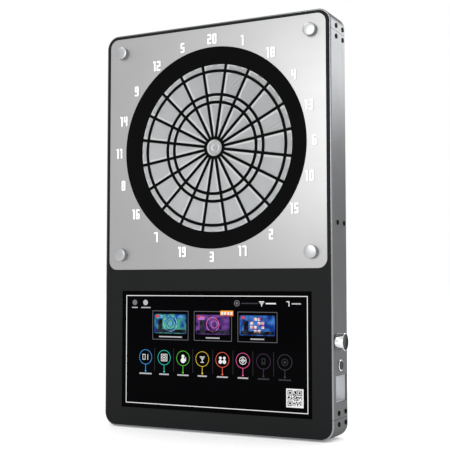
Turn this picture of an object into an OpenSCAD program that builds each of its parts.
// Electronic dartboard for a wall: an aluminium-framed case with a soft-tip target at the
// top and a touch screen below it.
// The origin is the centre of the four wall-mount holes, on the back face. +X is to the
// right seen from the front, +Y goes into the wall and +Z is up.
// Pieces are drawn as seen from the front, and "depth" is the distance behind the front
// plane of the case. stand() turns them upright.

/* [Case] */
// Overall width of the case
case_w = 588; // [586:1:720]
// Overall height of the case
case_h = 950; // [940:1:1160]
// Depth of the case from its front plane to its back cover
case_d = 90; // [86:1:130]
// Outer radius of the case's corners
corner_r = 31; // [22:1:37]
// Wall of the frame profile
wall_t = 3; // [2:0.5:4]
// Width of the bright chamfer round the front edge
front_chamfer = 2.2; // [0.5:0.1:2.5]
// Chamfer round the rear edge
rear_chamfer = 1.2; // [0.3:0.1:1.8]
// How far the frame's inner flanges reach in from its outer face
flange_w = 15; // [10:1:20]
// Thickness of those flanges
flange_t = 2; // [1:0.5:3]

/* [Frame joints] */
// Reach of a corner piece from the case's outer face to its seam
corner_leg = 46; // [38:1:70]
// Open seam between a corner piece and a rail
seam_w = 0.8; // [0.3:0.1:1.5]
// Thickness of the angle bracket inside each corner
bracket_t = 4; // [3:0.5:6]
// How far a bracket reaches past the seam
bracket_reach = 28; // [20:1:40]
// Distance of each frame screw from the seam
screw_inset = 12; // [10:1:16]
// Depth of the front row of frame screws
screw_row_a = 34; // [20:1:40]
// Depth of the rear row of frame screws
screw_row_b = 76; // [60:1:80]
// Shank radius of the frame screws
screw_r = 2.5; // [2:0.5:4]
// Head radius of the frame screws
screw_head_r = 5.5; // [5:0.5:8]
// Head height of the frame screws
screw_head_h = 1.6; // [1:0.1:3]
// Length of the frame screws under the head
screw_len = 14; // [9:1:20]
// Height of the crossbar
crossbar_h = 40; // [30:1:60]
// Distance of the crossbar's front from the back of the case
crossbar_d = 40; // [30:1:44]
// Wall of the crossbar
crossbar_t = 2.5; // [2:0.5:4]

/* [Front] */
// Thickness of the black front panel
panel_t = 2; // [1:0.5:3]
// Gap round sheets that lie inside the frame
sheet_gap = 0.3; // [0.1:0.1:1]
// Width of the silver number plate
plate_w = 565; // [540:1:569]
// Height of the silver number plate
plate_h = 566; // [540:1:570]
// Thickness of the number plate
plate_t = 1.5; // [1:0.5:3]
// Corner radius of the number plate
plate_corner_r = 21; // [6:1:40]
// Distance of the number plate from the top of the case
plate_margin = 10; // [8:1:20]
// Inset of the four thumbscrews from the plate's edges
thumb_inset = 36; // [28:1:45]
// Head radius of a thumbscrew
thumb_r = 15; // [10:0.5:18]
// Head height of a thumbscrew
thumb_h = 12; // [6:0.5:16]
// Shank radius of a thumbscrew
thumb_shank_r = 3; // [2:0.5:4]
// Height of a numeral
digit_h = 24; // [16:0.5:26]
// Width of a numeral other than a one
digit_w = 10.5; // [9:0.5:12]
// Width of a numeral's strokes
stroke = 4.2; // [2:0.1:4.3]
// How far the numerals stand out of the plate
digit_t = 2; // [0.5:0.5:3]
// Space between the two figures of a number
digit_gap = 3; // [2:0.5:4]
// Radius of the circle that the numbers stand on
number_r = 255; // [252:1:260]

/* [Target] */
// Radius of the scoring face
target_r = 197; // [160:0.5:200]
// Radius of the black catch ring
ring_r = 236; // [230:1:237]
// Radius of the wire inside the double ring
double_r = 181.5; // [140:0.5:184]
// Radius of the wire outside the triple ring
triple_out_r = 125.5; // [118:0.5:130]
// Radius of the wire inside the triple ring
triple_in_r = 107.5; // [95:0.5:110]
// Radius of the spider's hub
hub_r = 26.5; // [25:0.5:30]
// Radius of the outer bull
bull_r = 19.2; // [17:0.1:20]
// Radius of the inner bull
bull_in_r = 8.8; // [6:0.1:10]
// Width of the spider's radial ribs
rib_w = 6; // [3.5:0.5:6.5]
// Width of the spider's ring ribs
ring_rib_w = 6.5; // [4:0.5:7]
// Depth of the spider's front edge behind the front plane
spider_front = 8; // [6:0.5:10]
// Depth of the ribs from front to back
spider_t = 12; // [10:0.5:16]
// How far the segments lie below the spider's front edge
segment_sink = 1.5; // [0.5:0.5:3]
// Clearance between a segment and the ribs round it
segment_gap = 0.4; // [0.3:0.1:0.8]
// How far a segment's retaining flange laps behind the ribs
segment_lap = 1.4; // [0.8:0.1:1.8]
// Thickness of a segment's retaining flange
segment_flange_t = 2; // [1:0.5:3]
// How far a segment moves when a dart hits it
segment_travel = 1.2; // [0.8:0.1:2]
// Thickness of the rubber mat behind the segments
mat_t = 2; // [1:0.5:4]
// Thickness of the sensor film behind the mat
film_t = 0.8; // [0.4:0.1:1.5]
// Width and height of the target's backing board
board_w = 530; // [516:1:540]
// Thickness of the backing board
board_t = 12; // [9:1:15]
// Number of screws that clamp the catch ring to the board
clamp_count = 8; // [4:1:12]

/* [Screen] */
// Width of the screen opening
screen_w = 490; // [400:1:500]
// Height of the screen opening
screen_h = 277; // [230:1:290]
// Distance of the screen opening from the bottom of the case
screen_margin = 46; // [42:1:60]
// How far the glass and the display lap behind the panel on each side
glass_lap = 5; // [4:1:8]
// Thickness of the touch glass
glass_t = 3; // [2:0.5:4]
// Thickness of the display module
lcd_t = 11; // [8:0.5:16]
// Length of the clips that hold the display module
clip_len = 30; // [20:1:50]

/* [Controls] */
// Radius of the volume knob
knob_r = 19; // [14:0.5:20]
// Height of the volume knob
knob_h = 20; // [12:0.5:26]
// Depth of the knob's axis
knob_depth = 24; // [24:1:40]
// Height of the knob's axis above the bottom of the case
knob_up = 213.5; // [205:0.5:240]
// Radius of the volume shaft
shaft_r = 3; // [2:0.5:4]
// Radius of the power button
button_r = 9.8; // [7:0.1:11]
// Wall of the switch housing round the button
switch_wall = 2.1; // [1.5:0.1:3]
// Depth of the power button's axis
button_depth = 44; // [30:1:56]
// Height of the power button's axis above the bottom of the case
button_up = 161; // [158:0.5:170]
// How far the power button stands out of the frame
button_out = 3.8; // [3:0.1:6]
// How far the power button moves when it is pressed
button_travel = 1.5; // [0.5:0.1:2]
// Depth of the side bay's front edge
bay_front = 17; // [14:1:24]
// Space between the side bay's rear wall and the frame's rear flange
bay_rear_gap = 2.5; // [1.5:0.5:20]
// Height of the side bay
bay_h = 57; // [40:1:60]
// Height of the bay's middle above the bottom of the case
bay_up = 110.5; // [108:0.5:112]
// Depth of the bay into the case
bay_floor = 21; // [16:1:26]

/* [Back] */
// Thickness of the back cover
cover_t = 1.5; // [1:0.5:2]
// Hole spacing of the wall mount
mount_pitch = 200; // [100:50:200]
// Radius of the wall mount's holes
mount_hole_r = 3; // [2.5:0.5:4]
// Depth of the wall mount's holes
mount_hole_len = 14; // [10:1:20]
// Outer radius of the wall mount's bosses
mount_boss_r = 8; // [6:0.5:10]
// Thickness of the wall mount plate
mount_plate_t = 4; // [3:0.5:6]

/* [Hidden] */
$fn = 96;
eps = 0.01;
fit = 0.1;
numbers = [20, 1, 18, 4, 13, 6, 10, 15, 2, 17, 3, 19, 7, 16, 8, 11, 14, 9, 12, 5];
sectors = len(numbers);
sector_deg = 360 / sectors;

target_z = case_h / 2 - plate_margin - plate_h / 2;
screen_z = -case_h / 2 + screen_margin + screen_h / 2;
knob_z = knob_up - case_h / 2;
button_z = button_up - case_h / 2;
bay_z = bay_up - case_h / 2;
side_x = case_w / 2;
inner_x = side_x - wall_t;
inner_z = case_h / 2 - wall_t;
seam_x = side_x - corner_leg;
seam_z = case_h / 2 - corner_leg;
flange_front = panel_t + flange_t;
flange_rear = case_d - cover_t - flange_t;
cover_front = case_d - cover_t;

// Depths of the layers of the target, from front to back.
segment_front = spider_front + segment_sink;
spider_back = spider_front + spider_t;
flange_gap = 0.3;
flange_a = spider_back + flange_gap;
segment_back = flange_a + segment_flange_t;
mat_gap = 0.4;
mat_front = segment_back + segment_travel + mat_gap;
film_front = mat_front + mat_t;
board_front = film_front + film_t;
board_back = board_front + board_t;
rim_wall = 3;
rim_r = target_r + 17;
mat_r = rim_r - rim_wall - 2;
ribbon_up = 12;
ribbon_w = 40;
ribbon_t = 0.8;
bull_proud = 0.5;
bull_in_proud = 1;
ring_wall = 3;
ring_flange_r = ring_r + 11;
ring_hole_r = ring_r + 0.4;
ring_throat = spider_front + 4;
ring_mouth_r = target_r + 0.5;
ring_lip_w = 1.2;
ring_lip_up = plate_t - 0.5;
clamp_r = ring_r + 5;
clamp_boss_r = 5;
clamp_screw_r = 2;
clamp_head_t = 2.5;
clamp_reach = 14;
thumb_edge = 1.5;
thumb_stop = 3;
board_corner_r = 8;
serif = 2.6;
digit_corner = 2.4;

// Radial limits of the four beds of a sector, between the ring ribs.
half_ring = ring_rib_w / 2;
beds = [
    [hub_r, triple_in_r - half_ring],
    [triple_in_r + half_ring, triple_out_r - half_ring],
    [triple_out_r + half_ring, double_r - half_ring],
    [double_r + half_ring, target_r]
];

glass_w = screen_w + 2 * glass_lap;
glass_h = screen_h + 2 * glass_lap;
tape_t = 0.5;
lcd_w = glass_w - 4;
lcd_h = glass_h + 6;
lcd_front = panel_t + glass_t + tape_t;
lcd_back = lcd_front + lcd_t;
lcd_hump = [lcd_w - 80, lcd_h - 90];
lcd_hump_t = 3;
clip_t = 2;
clip_foot = 15;
clip_hook = 8;
clip_x = glass_w / 2 + 1;

crossbar_front = case_d - crossbar_d;
end_plate_t = 3;
end_plate_front = screw_row_a - 8;
bracket_inset = 3;
socket_floor = 0.3;
mount_plate_front = cover_front - mount_plate_t;
crossbar_back = mount_plate_front;
mount_plate_w = mount_pitch + 60;

knob_gap = 0.6;
knob_base = side_x + knob_gap;
knob_cap_t = 1.2;
knob_wall = 1;
shaft_end = side_x + knob_h - 8;
nut_r = 7;
bush_r = 4.5;
nut_t = 2.2;
control_w = 17;
control_d = 11;
shaft_in = 8;
knob_floor = 4;
bezel_r = button_r + switch_wall + 0.5;
switch_barrel_r = button_r + 1.1;
switch_len = 24;
bezel_drop = 1.2;
switch_nut_t = 3;
button_in = 8;
button_rest = 0.6;
cover_screw_r = 1.5;
cover_screw_tip = 1.2;
cover_head_h = 1.2;
vent_w = 3.5;
vent_l = 36;
vent_pitch = 16;
vent_row = 24;
vent_up = 160;
bay_wall = 2;
bay_lip = 5;
bay_l = flange_rear - bay_rear_gap - bay_wall - bay_front;
speaker_x = 150;
speaker_w = 110;
speaker_h = 62;
speaker_front = 26;
speaker_d = 50;
speaker_gap = 0.3;
cone_r = 21;
dome_r = 8;
cone_d = 12;
slot_w = 3;
slot_l = 22;
board_x = -60;
main_w = 180;
main_h = 120;
main_front = lcd_back + 12;
main_t = 1.6;
post_r = 3;
post_in = 6;
chip = [46, 46, 14];
plug_t = 9;
cable_x = -40;
lead_r = 1.5;

function segment_name(n) = str("segment_", n < 10 ? "0" : "", n);

// ---- helpers ----

// Turns a piece from its front view, with z towards the viewer, to its place on the wall.
module stand() rotate([90, 0, 0]) children();

// Extrudes a front-view outline between two depths.
module slab(d0, d1) translate([0, 0, case_d - d1]) linear_extrude(d1 - d0) children();

// Places a piece that points out of the right-hand side, given its depth and height.
module on_side(depth, z) translate([0, z, case_d - depth]) rotate([0, 90, 0]) children();

module rounded_rect(w, h, r) {
    square([w - 2 * r, h], center = true);
    square([w, h - 2 * r], center = true);
    for (x = [-1, 1], y = [-1, 1])
        translate([x * (w / 2 - r), y * (h / 2 - r)]) circle(r);
}

module at_target() translate([0, target_z, 0]) children();

// Cross-section of the frame: outer distance r from the middle, height above the back.
module frame_profile(r) {
    polygon([for (p = [
        [front_chamfer, 0], [wall_t, 0], [wall_t, panel_t], [flange_w, panel_t],
        [flange_w, flange_front], [wall_t, flange_front], [wall_t, flange_rear],
        [flange_w, flange_rear], [flange_w, cover_front], [wall_t, cover_front],
        [wall_t, case_d], [rear_chamfer, case_d], [0, case_d - rear_chamfer],
        [0, front_chamfer]
    ]) [r - p[0], case_d - p[1]]]);
}

// Sweeps a cross-section round the top right corner, with a straight leg at each end.
module corner_sweep(leg) {
    translate([side_x - corner_r, case_h / 2 - corner_r, 0]) {
        rotate_extrude(angle = 90) children();
        rotate([90, 0, 0]) linear_extrude(leg) children();
        rotate([0, 0, 90]) translate([0, leg, 0]) rotate([90, 0, 0]) linear_extrude(leg)
            children();
    }
}

// Places children at every frame screw of the right-hand side, pointing outwards along z.
module side_screws() {
    for (z = [for (s = [-1, 1], i = [-1, 1]) s * (seam_z + i * screw_inset)],
         d = [screw_row_a, screw_row_b])
        on_side(d, z) translate([0, 0, side_x]) children();
}

// The same for the top face.
module top_screws() {
    for (x = [for (s = [-1, 1], i = [-1, 1]) s * (seam_x + i * screw_inset)],
         d = [screw_row_a, screw_row_b])
        translate([x, case_h / 2, case_d - d]) rotate([-90, 0, 0]) children();
}

// The two screws in the middle of the right-hand side, which hold the crossbar.
module middle_screws() {
    for (d = [screw_row_a, screw_row_b])
        on_side(d, 0) translate([0, 0, side_x]) children();
}

module all_side_screws() {
    for (m = [0, 1]) mirror([m, 0, 0]) {
        side_screws() children();
        middle_screws() children();
    }
}

module all_top_screws() {
    for (m = [0, 1]) mirror([0, m, 0]) top_screws() children();
}

module screw_hole(r) translate([0, 0, -screw_len - 1]) cylinder(r = r, h = screw_len + 2);

module frame_screw() {
    difference() {
        union() {
            cylinder(r = screw_head_r, h = screw_head_h);
            translate([0, 0, -screw_len]) cylinder(r = screw_r, h = screw_len);
        }
        translate([0, 0, socket_floor]) cylinder(r = screw_r * 0.8, h = screw_head_h, $fn = 6);
    }
}

// ---- frame ----

module side_rail_bar() {
    rotate([90, 0, 0])
        linear_extrude(2 * seam_z - seam_w, center = true) frame_profile(side_x);
}

module end_rail_bar() {
    rotate([0, 0, 90]) rotate([90, 0, 0])
        linear_extrude(2 * seam_x - seam_w, center = true) frame_profile(case_h / 2);
}

module rail_left() color("#8f9193") stand() difference() {
    mirror([1, 0, 0]) side_rail_bar();
    all_side_screws() screw_hole(screw_r + fit);
    cover_screw_places() cover_screw(fit / 2);
}

module rail_right() color("#8f9193") stand() difference() {
    side_rail_bar();
    all_side_screws() screw_hole(screw_r + fit);
    cover_screw_places() cover_screw(fit / 2);
    on_side(knob_depth, knob_z) cylinder(r = bush_r + fit, h = side_x + 1);
    on_side(button_depth, button_z) cylinder(r = switch_barrel_r + fit, h = side_x + 1);
    translate([side_x, bay_z, case_d - bay_front - bay_l / 2])
        cube([4 * wall_t, bay_h, bay_l], center = true);
}

module rail_top() color("#8f9193") stand() difference() {
    end_rail_bar();
    all_top_screws() screw_hole(screw_r + fit);
    cover_screw_places() cover_screw(fit / 2);
}

module rail_bottom() color("#8f9193") stand() difference() {
    mirror([0, 1, 0]) end_rail_bar();
    all_top_screws() screw_hole(screw_r + fit);
    cover_screw_places() cover_screw(fit / 2);
    for (s = [-1, 1], i = [-5:5])
        translate([s * speaker_x + i * 3 * slot_w, -case_h / 2,
                   case_d - speaker_front - speaker_d / 2])
            cube([slot_w, 4 * wall_t, slot_l], center = true);
}

module corner_piece(mx, mz) color("#8f9193") stand() difference() {
    mirror([mx, 0, 0]) mirror([0, mz, 0])
        corner_sweep(corner_leg - corner_r - seam_w / 2) frame_profile(corner_r);
    all_side_screws() screw_hole(screw_r + fit);
    all_top_screws() screw_hole(screw_r + fit);
}
module corner_top_left() corner_piece(1, 0);
module corner_top_right() corner_piece(0, 0);
module corner_bottom_left() corner_piece(1, 1);
module corner_bottom_right() corner_piece(0, 1);

module corner_brackets() color("#b9bcbf") stand() difference() {
    for (mx = [0, 1], mz = [0, 1]) mirror([mx, 0, 0]) mirror([0, mz, 0])
        corner_sweep(corner_leg - corner_r + bracket_reach)
            translate([corner_r - wall_t - bracket_t - fit, case_d - flange_rear + bracket_inset])
                square([bracket_t, flange_rear - flange_front - 2 * bracket_inset]);
    all_side_screws() screw_hole(screw_r + fit / 2);
    all_top_screws() screw_hole(screw_r + fit / 2);
}

module frame_screws() color("#151516") stand() {
    all_side_screws() frame_screw();
    all_top_screws() frame_screw();
}

// A channel that is open to the back, with a plate at each end for the middle screws.
module crossbar() color("#b9bcbf") stand() difference() {
    union() {
        slab(crossbar_front, crossbar_back)
            square([2 * (inner_x - end_plate_t) + 2 * eps, crossbar_h], center = true);
        for (s = [-1, 1]) translate([s * (inner_x - end_plate_t / 2), 0, 0])
            slab(end_plate_front, crossbar_back)
                square([end_plate_t, crossbar_h], center = true);
    }
    slab(crossbar_front + crossbar_t, crossbar_back + 1)
        square([2 * (inner_x - end_plate_t), crossbar_h - 2 * crossbar_t], center = true);
    for (m = [0, 1]) mirror([m, 0, 0]) middle_screws() screw_hole(screw_r + fit / 2);
}

// ---- front ----

module front_panel() color("#1c1d1f") stand() slab(0, panel_t) difference() {
    rounded_rect(2 * (inner_x - sheet_gap), 2 * (inner_z - sheet_gap),
                 corner_r - wall_t - sheet_gap);
    at_target() circle(ring_hole_r);
    translate([0, screen_z]) square([screen_w, screen_h], center = true);
    at_target() thumb_places() circle(thumb_shank_r + fit);
}

module thumb_places() {
    for (x = [-1, 1], y = [-1, 1])
        translate([x * (plate_w / 2 - thumb_inset), y * (plate_h / 2 - thumb_inset)])
            children();
}

module number_plate() color("#c9cbcc") stand() slab(-plate_t, 0) at_target() difference() {
    rounded_rect(plate_w, plate_h, plate_corner_r);
    circle(ring_hole_r);
    thumb_places() circle(thumb_shank_r + fit);
}

// Which of the seven strokes each figure has: top, right upper, right lower, bottom,
// left lower, left upper, middle.
strokes = [
    [1, 1, 1, 1, 1, 1, 0], [0, 1, 1, 0, 0, 0, 0], [1, 1, 0, 1, 1, 0, 1], [1, 1, 1, 1, 0, 0, 1],
    [0, 1, 1, 0, 0, 1, 1], [1, 0, 1, 1, 0, 1, 1], [1, 0, 1, 1, 1, 1, 1], [1, 1, 1, 0, 0, 0, 0],
    [1, 1, 1, 1, 1, 1, 1], [1, 1, 1, 1, 0, 1, 1]
];
one_w = stroke + serif;

function figure_w(d) = d == 1 ? one_w : digit_w;

// One figure, with its lower left corner at the origin.
module figure(d) {
    w = digit_w;
    h = digit_h;
    mid = (h - stroke) / 2;
    if (d == 1) {
        translate([one_w - stroke, 0]) square([stroke, h]);
        translate([0, h - stroke]) square([one_w, stroke]);
    } else intersection() {
        union() {
            if (strokes[d][0]) translate([0, h - stroke]) square([w, stroke]);
            if (strokes[d][1]) translate([w - stroke, mid]) square([stroke, h - mid]);
            if (strokes[d][2]) translate([w - stroke, 0]) square([stroke, mid + stroke]);
            if (strokes[d][3]) square([w, stroke]);
            if (strokes[d][4]) square([stroke, mid + stroke]);
            if (strokes[d][5]) translate([0, mid]) square([stroke, h - mid]);
            if (strokes[d][6]) translate([0, mid]) square([w, stroke]);
        }
        translate([w / 2, h / 2]) rounded_rect(w, h, digit_corner);
    }
}

module number_shape(n) {
    tens = floor(n / 10);
    ones = n % 10;
    total = tens > 0 ? figure_w(tens) + digit_gap + figure_w(ones) : figure_w(ones);
    translate([-total / 2, -digit_h / 2]) {
        if (tens > 0) figure(tens);
        translate([total - figure_w(ones), 0]) figure(ones);
    }
}

module numerals() color("#f4f4f4") stand() slab(-plate_t - digit_t, -plate_t) at_target()
    for (k = [0 : sectors - 1])
        translate(number_r * [sin(k * sector_deg), cos(k * sector_deg)])
            number_shape(numbers[k]);

module thumbscrews() color("#d4d5d6") stand() at_target() thumb_places()
    translate([0, 0, case_d]) rotate_extrude() polygon([
        [0, plate_t + thumb_h], [thumb_r - thumb_edge, plate_t + thumb_h],
        [thumb_r, plate_t + thumb_h - thumb_edge], [thumb_r, plate_t],
        [thumb_shank_r, plate_t], [thumb_shank_r, thumb_stop - board_back],
        [0, thumb_stop - board_back]
    ]);

// ---- target ----

module clamp_places() {
    for (k = [0 : clamp_count - 1])
        rotate(360 / clamp_count * (k + 0.5)) translate([clamp_r, 0]) children();
}

// The dished ring round the scoring face, with a flange behind the front panel and a
// boss for each clamp screw.
module catch_ring() color("#131314") stand() at_target() difference() {
    union() {
        translate([0, 0, case_d]) rotate_extrude() polygon([
            [ring_mouth_r, -spider_front], [ring_r - ring_lip_w, ring_lip_up],
            [ring_r, ring_lip_up], [ring_r, -panel_t - fit], [ring_flange_r, -panel_t - fit],
            [ring_flange_r, -panel_t - ring_wall], [ring_r - 1, -panel_t - ring_wall],
            [ring_mouth_r + ring_wall, -ring_throat], [ring_mouth_r, -ring_throat]
        ]);
        slab(panel_t + ring_wall - eps, board_front) clamp_places() circle(clamp_boss_r);
    }
    slab(panel_t + 2 * ring_wall, board_front + 1) clamp_places() circle(clamp_screw_r + fit);
}

// Outline of one sector between its two ribs, with the ribs' width and a gap taken off.
module sector_outline(side) {
    apex = side / sin(sector_deg / 2);
    reach = 2 * target_r;
    polygon([
        [0, apex],
        [reach * sin(sector_deg / 2), apex + reach * cos(sector_deg / 2)],
        [-reach * sin(sector_deg / 2), apex + reach * cos(sector_deg / 2)]
    ]);
}

module bed(i, shrink) intersection() {
    difference() {
        circle(beds[i][1] - shrink);
        circle(beds[i][0] + shrink);
    }
    sector_outline(rib_w / 2 + shrink);
}

// The four beds of one sector: inner single, triple, outer single and double.
module segment(k) color("#c4c6c8") stand() at_target() rotate(-k * sector_deg)
    for (i = [0 : len(beds) - 1]) {
        slab(segment_front, segment_back) bed(i, segment_gap);
        slab(flange_a, segment_back) bed(i, -segment_lap);
    }

// The black web: radial ribs, ring ribs, a hub and a deep rim that stands on the board.
module spider() color("#121213") stand() at_target() {
    slab(spider_front, spider_back) difference() {
        union() {
            for (k = [0 : sectors - 1]) rotate((k + 0.5) * sector_deg)
                translate([-rib_w / 2, 0]) square([rib_w, target_r + 0.2]);
            for (r = [triple_in_r, triple_out_r, double_r]) difference() {
                circle(r + half_ring);
                circle(r - half_ring);
            }
            circle(hub_r);
        }
        circle(bull_r + segment_gap);
    }
    slab(ring_throat, spider_back) difference() {
        circle(rim_r);
        circle(target_r);
    }
    slab(spider_back - eps, board_front) difference() {
        circle(rim_r);
        circle(rim_r - rim_wall);
    }
}

module bull_outer() color("#c9cbcc") stand() at_target() difference() {
    union() {
        slab(segment_front - bull_proud, segment_back) circle(bull_r);
        slab(flange_a, segment_back) circle(bull_r + segment_gap + segment_lap);
    }
    slab(segment_front - 2 * bull_proud, segment_back + 1)
        circle(bull_in_r + segment_gap);
}

module bull_inner() color("#c9cbcc") stand() at_target()
    slab(segment_front - bull_in_proud, segment_back) circle(bull_in_r);

module rubber_mat() color("#2a2a2b") stand() at_target() slab(mat_front, film_front)
    circle(mat_r);

module sensor_film() color("#7a6a3a") stand() at_target() slab(film_front, board_front)
    circle(mat_r);

// The board that carries the target. The slot lets the sensor's ribbon cable through.
module backing_board() color("#8a7a5c") stand() at_target()
    slab(board_front, board_back) difference() {
        rounded_rect(board_w, board_w, board_corner_r);
        clamp_places() circle(clamp_screw_r + fit);
        thumb_places() circle(thumb_shank_r + fit);
        translate([0, ribbon_up - mat_r]) square([ribbon_w + 6, 5 * ribbon_t], center = true);
    }

module clamp_screws() color("#a9abad") stand() at_target() clamp_places() {
    slab(board_back, board_back + clamp_head_t) circle(2 * clamp_screw_r);
    slab(board_front - clamp_reach, board_back + eps) circle(clamp_screw_r);
}

// ---- screen ----

module touch_glass() color("#050506") stand() translate([0, screen_z, 0])
    slab(panel_t, panel_t + glass_t) square([glass_w, glass_h], center = true);

module display() color("#3a3c3f") stand() translate([0, screen_z, 0]) {
    slab(lcd_front, lcd_back) square([lcd_w, lcd_h], center = true);
    slab(lcd_back - eps, lcd_back + lcd_hump_t) square(lcd_hump, center = true);
}

// Z-shaped clips from the back of the front panel over the display module's edge.
module display_clips() color("#b9bcbf") stand() translate([0, screen_z, 0])
    for (m = [0, 1], z = [-1, 1]) mirror([m, 0, 0])
        translate([0, z * lcd_h / 3 + clip_len / 2, 0]) rotate([90, 0, 0])
            linear_extrude(clip_len) polygon([for (p = [
                [clip_foot, panel_t], [0, panel_t], [0, lcd_back],
                [lcd_w / 2 - clip_hook - clip_x, lcd_back],
                [lcd_w / 2 - clip_hook - clip_x, lcd_back + clip_t],
                [clip_t, lcd_back + clip_t], [clip_t, panel_t + clip_t],
                [clip_foot, panel_t + clip_t]
            ]) [clip_x + p[0], case_d - p[1]]]);

// ---- electronics ----

module main_board() color("#1f5a3a") stand() translate([board_x, screen_z, 0]) {
    slab(main_front, main_front + main_t) square([main_w, main_h], center = true);
    slab(lcd_back + lcd_hump_t, main_front + eps) for (x = [-1, 1], y = [-1, 1])
        translate([x * (main_w / 2 - post_in), y * (main_h / 2 - post_in)]) circle(post_r);
    slab(main_front + main_t - eps, main_front + chip[2])
        translate([-20, 5]) square([chip[0], chip[1]], center = true);
    slab(main_front + main_t - eps, main_front + plug_t) {
        translate([20, main_h / 2 - 8]) square([44, 9], center = true);
        translate([main_w / 2 - 12, -10]) square([12, 50], center = true);
        translate([-main_w / 2 + 14, -main_h / 2 + 16]) square([16, 20], center = true);
    }
}

// Two boxes that fire down through the slots in the bottom rail.
module speakers() color("#202123") stand() for (s = [-1, 1])
    translate([s * speaker_x, -inner_z, case_d - speaker_front - speaker_d / 2])
        rotate([-90, 0, 0]) difference() {
            translate([-speaker_w / 2, -speaker_d / 2, speaker_gap])
                cube([speaker_w, speaker_d, speaker_h]);
            translate([0, 0, speaker_gap - fit]) cylinder(r1 = cone_r, r2 = dome_r, h = cone_d);
        }

// Flat ribbon from the sensor film to the main board, and the leads to the speakers,
// the volume control and the power switch.
module wiring() color("#6d6f72") stand() {
    ribbon_depth = max(board_back, main_front + plug_t);
    top = target_z - mat_r + ribbon_up;
    bottom = screen_z + main_h / 2 - 8;
    translate([cable_x, 0, 0]) {
        translate([-cable_x, 0, 0]) slab(board_front, ribbon_depth + ribbon_t)
            translate([0, top]) square([ribbon_w, ribbon_t], center = true);
        slab(ribbon_depth, ribbon_depth + ribbon_t) polygon([
            [-cable_x - ribbon_w / 2, top], [-cable_x + ribbon_w / 2, top],
            [ribbon_w / 2, top - 80], [ribbon_w / 2, bottom], [-ribbon_w / 2, bottom],
            [-ribbon_w / 2, top - 80]
        ]);
        slab(main_front + plug_t, ribbon_depth + eps)
            translate([0, bottom]) square([ribbon_w, ribbon_t], center = true);
    }
    connector_x = board_x + main_w / 2 - 12;
    top_depth = main_front + plug_t + lead_r;
    box_top = speaker_h - inner_z + speaker_gap;
    lead(top_depth, connector_x, screen_z - 10, side_x - switch_len - lead_r, button_z);
    lead(main_front + lead_r, board_x + main_w / 2, screen_z + 30, inner_x - control_d - lead_r, knob_z);
    lead(top_depth, connector_x, screen_z - 30, speaker_x, box_top);
    lead(top_depth, board_x - main_w / 2 + 14, screen_z - main_h / 2 + 16, -speaker_x, box_top);
}

// A round lead in two straight runs at one depth, level and then upright.
module lead(depth, x0, z0, x1, z1) {
    translate([min(x0, x1), z0, case_d - depth]) rotate([0, 90, 0])
        cylinder(r = lead_r, h = abs(x1 - x0));
    translate([x1, min(z0, z1), case_d - depth]) rotate([-90, 0, 0])
        cylinder(r = lead_r, h = abs(z1 - z0));
    translate([x1, z0, case_d - depth]) sphere(lead_r);
}

// ---- back ----

cover_w = 2 * (inner_x - sheet_gap);
cover_h = 2 * (inner_z - sheet_gap);
cover_inset = (flange_w - wall_t) / 2;

module cover_screw_places() {
    x = inner_x - cover_inset;
    z = inner_z - cover_inset;
    for (s = [-1, 1]) {
        for (i = [-2 : 2]) translate([s * x, i * (z - corner_r) / 2.2]) children();
        for (i = [-1, 1]) translate([i * x / 2.2, s * z]) children();
    }
}

module mount_places() {
    for (x = [-1, 1], y = [-1, 1])
        translate([x * mount_pitch / 2, y * mount_pitch / 2]) children();
}

module vent_rows(z) {
    for (i = [-9 : 9], j = [-1, 1])
        translate([i * vent_pitch, z + j * vent_row]) square([vent_w, vent_l], center = true);
}

module back_cover() color("#2b2c2e") stand() difference() {
    slab(cover_front, case_d) difference() {
        rounded_rect(cover_w, cover_h, corner_r - wall_t - sheet_gap);
        mount_places() circle(mount_boss_r + sheet_gap);
        vent_rows(screen_z);
        vent_rows(target_z + vent_up);
    }
    cover_screw_places() cover_screw(fit);
}

// A countersunk screw that goes through the cover and the frame's rear flange.
module cover_screw(extra) {
    slab(flange_rear - cover_screw_tip, case_d + extra) circle(cover_screw_r + extra);
    translate([0, 0, -extra])
        cylinder(r1 = 2 * cover_screw_r + extra, r2 = cover_screw_r + extra,
                 h = cover_head_h + extra);
}

module cover_screws() color("#151516") stand() cover_screw_places() cover_screw(0);

// The steel plate that takes the load: bolted to the crossbar, with four tapped bosses
// that come through the back cover.
module wall_mount_plate() color("#9b9d9f") stand() difference() {
    union() {
        slab(mount_plate_front, cover_front - 0.2)
            square([mount_plate_w, mount_plate_w], center = true);
        slab(case_d - mount_hole_len, case_d) mount_places() circle(mount_boss_r);
    }
    slab(case_d - mount_hole_len - 1, case_d + 1) mount_places() circle(mount_hole_r);
}

// ---- controls ----

module volume_knob() color("#d9dadb") stand() on_side(knob_depth, knob_z)
    translate([0, 0, knob_base]) difference() {
        cylinder(r = knob_r, h = knob_h - knob_gap);
        translate([0, 0, knob_h - knob_gap - knob_cap_t])
            cylinder(r = knob_r - knob_wall, h = 2 * knob_cap_t);
        translate([0, 0, -1]) cylinder(r = shaft_r + fit / 2, h = shaft_end - knob_base + 4);
        translate([0, 0, -1]) cylinder(r = nut_r + 1.5, h = knob_floor + 1);
    }

module knob_cap() color("#3b3d40") stand() on_side(knob_depth, knob_z)
    translate([0, 0, side_x + knob_h - knob_cap_t])
        cylinder(r = knob_r - knob_wall - fit / 2, h = knob_cap_t);

module volume_shaft() color("#b9bcbf") stand() on_side(knob_depth, knob_z)
    translate([0, 0, inner_x - shaft_in]) cylinder(r = shaft_r, h = shaft_end - inner_x + shaft_in);

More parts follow.
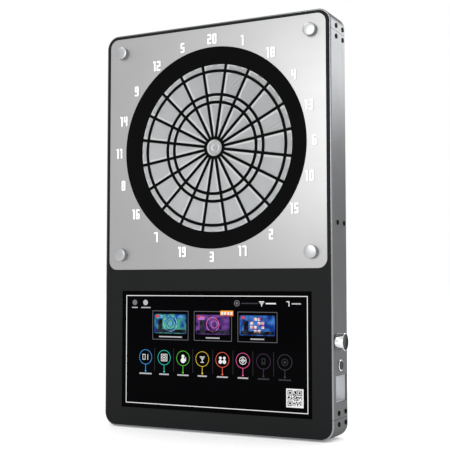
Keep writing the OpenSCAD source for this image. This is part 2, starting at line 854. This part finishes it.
module volume_control() color("#5c5f63") stand() on_side(knob_depth, knob_z) difference() {
    union() {
        translate([-control_w / 2, -control_w / 2, inner_x - control_d])
            cube([control_w, control_w, control_d]);
        translate([0, 0, inner_x - 2]) cylinder(r = bush_r, h = wall_t + 5);
        translate([0, 0, side_x]) cylinder(r = nut_r, h = nut_t, $fn = 6);
    }
    translate([0, 0, inner_x - shaft_in - 2 * fit]) cylinder(r = shaft_r + fit / 2, h = knob_h + 10);
}

module power_button() color("#4a4c50") stand() on_side(button_depth, button_z)
    translate([0, 0, side_x - button_in]) cylinder(r = button_r, h = button_in + button_out);

// A metal push-switch: bezel, threaded barrel, nut and contact block.
module power_switch() color("#d9dadb") stand() on_side(button_depth, button_z) difference() {
    union() {
        translate([0, 0, side_x]) cylinder(r = bezel_r, h = button_out - bezel_drop);
        translate([0, 0, side_x - switch_len]) cylinder(r = switch_barrel_r, h = switch_len + 1);
        translate([0, 0, inner_x - switch_nut_t])
            cylinder(r = bezel_r + 2, h = switch_nut_t, $fn = 6);
    }
    translate([0, 0, side_x - button_in - button_travel - button_rest])
        cylinder(r = button_r + 0.4, h = switch_len);
}

// Outline of the side bay seen from above: a square front part and a round scoop behind.
module bay_outline() {
    scoop_y = bay_floor - bay_l;
    translate([0, scoop_y]) square([bay_floor, -scoop_y]);
    intersection() {
        translate([0, -bay_l]) square([bay_floor, bay_l]);
        translate([0, scoop_y]) circle(bay_floor);
    }
}

// The moulded tray behind the opening in the right-hand rail.
module side_bay() color("#6f7275") stand() difference() {
    union() {
        translate([side_x - bay_floor - bay_wall, bay_z - bay_h / 2 - bay_wall,
                   case_d - bay_front - bay_l - bay_wall])
            cube([bay_floor + bay_wall - wall_t, bay_h + 2 * bay_wall, bay_l + 2 * bay_wall]);
        translate([inner_x - bay_wall, bay_z - bay_h / 2 - bay_lip,
                   case_d - bay_front - bay_l - bay_wall])
            cube([bay_wall, bay_h + 2 * bay_lip, bay_l + 2 * bay_wall]);
    }
    translate([side_x, bay_z + bay_h / 2, case_d - bay_front]) rotate([90, 0, 0])
        linear_extrude(bay_h) mirror([1, 0, 0]) bay_outline();
    port_places() {
        translate([0, 0, -5]) cylinder(r = jack_r + jack_wall + fit, h = 10);
        cube([usb_h + 2 * fit, usb_w + 2 * fit, 10], center = true);
    }
}

jack_r = 2.8;
jack_len = 10;
jack_wall = 2.5;
jack_floor = 3;
jack_down = 13;
usb_w = 13.1;
usb_h = 5.7;
usb_len = 13;
usb_up = 12;
usb_shell = 0.5;
port_depth = bay_front + 20;
port_card = [1.6, 50, 18];

// The power inlet below and the data port above, both facing out of the bay's floor.
module port_places() {
    on_side(port_depth, bay_z - jack_down) translate([0, 0, side_x - bay_floor]) children(0);
    on_side(port_depth, bay_z + usb_up) translate([0, 0, side_x - bay_floor]) children(1);
}

module port_board() color("#27282a") stand() {
    port_places() {
        difference() {
            translate([0, 0, -jack_len - jack_floor])
                cylinder(r = jack_r + jack_wall, h = jack_len + jack_floor);
            translate([0, 0, -jack_len]) cylinder(r = jack_r, h = jack_len + 1);
        }
        difference() {
            translate([0, 0, -usb_len / 2]) cube([usb_h, usb_w, usb_len], center = true);
            for (s = [-1, 1]) translate([s * (usb_h / 4 + 0.3), 0, 0])
                cube([usb_h / 2 - 1.2, usb_w - 2 * usb_shell, 2 * (usb_len - 3.5)],
                     center = true);
        }
    }
    translate([side_x - bay_floor - jack_len - jack_floor - port_card[0],
               bay_z - port_card[1] / 2, case_d - port_depth - port_card[2] / 2])
        cube(port_card + [eps, 0, 0]);
}

rail_left();
rail_right();
rail_top();
rail_bottom();
corner_top_left();
corner_top_right();
corner_bottom_left();
corner_bottom_right();
corner_brackets();
frame_screws();
crossbar();
front_panel();
number_plate();
numerals();
thumbscrews();
catch_ring();
spider();
bull_outer();
bull_inner();
rubber_mat();
sensor_film();
backing_board();
clamp_screws();
touch_glass();
display();
display_clips();
main_board();
speakers();
wiring();
back_cover();
cover_screws();
wall_mount_plate();
volume_knob();
knob_cap();
volume_shaft();
volume_control();
power_button();
power_switch();
side_bay();
port_board();
for (k = [0 : sectors - 1])
    segment(k);
